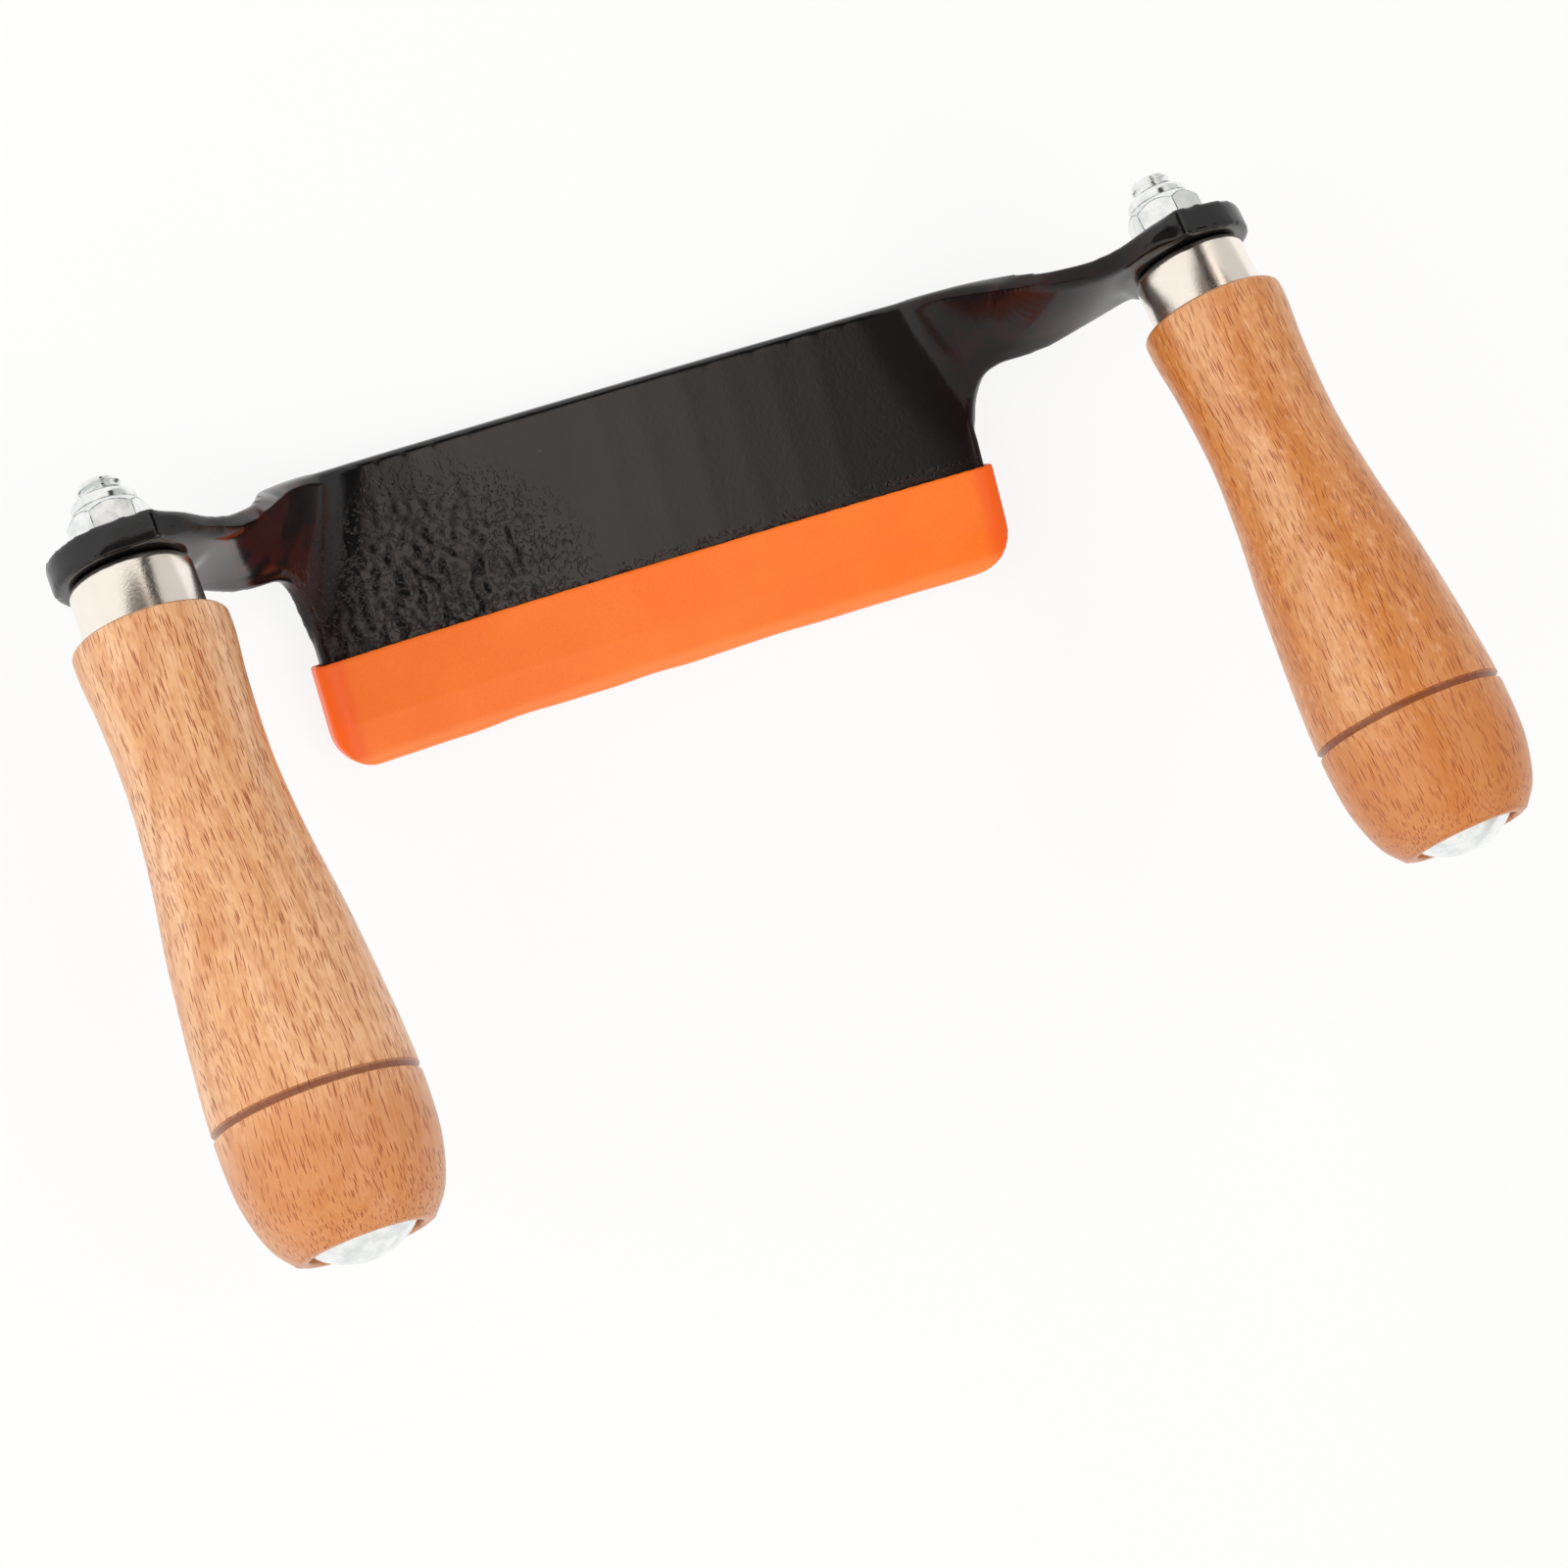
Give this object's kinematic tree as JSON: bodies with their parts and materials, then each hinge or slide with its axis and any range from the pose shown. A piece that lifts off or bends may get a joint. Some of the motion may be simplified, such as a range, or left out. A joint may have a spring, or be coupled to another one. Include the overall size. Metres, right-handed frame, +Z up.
{
  "type": "curved drawknife",
  "caption": "Bowed two-handed drawknife with raised twisted tangs, bolted wooden handles and a soft edge guard.",
  "frame": {"origin": "middle of the part's box, on the bench that the blade's bowed back rests on", "axes": "+X along the blade to the right hand, -Y the way the knife is pulled, +Z up from the bench to the raised handles"},
  "size_m": [0.2492, 0.134, 0.1097],
  "materials": {
    "black_lacquer": "gloss lacquer over forged steel",
    "orange_plastisol": "satin dipped vinyl",
    "beech": "satin varnish",
    "nickel": "satin nickel plate",
    "zinc": "bright zinc plate",
    "nylon": "natural nylon"
  },
  "bodies": {
    "knife": {"blade": "black_lacquer", "left_handle": "beech", "right_handle": "beech", "left_ferrule": "nickel", "right_ferrule": "nickel", "left_bolt": "zinc", "right_bolt": "zinc", "left_nut": "zinc", "right_nut": "zinc", "left_nut_ring": "nylon", "right_nut_ring": "nylon"},
    "guard": {"edge_guard": "orange_plastisol"}
  },
  "joints": [
    {"name": "guard_pull_off", "type": "slide", "parent": "knife", "child": "guard", "axis": [0, -1, 0], "range_m": [0, 0.03]}
  ]
}
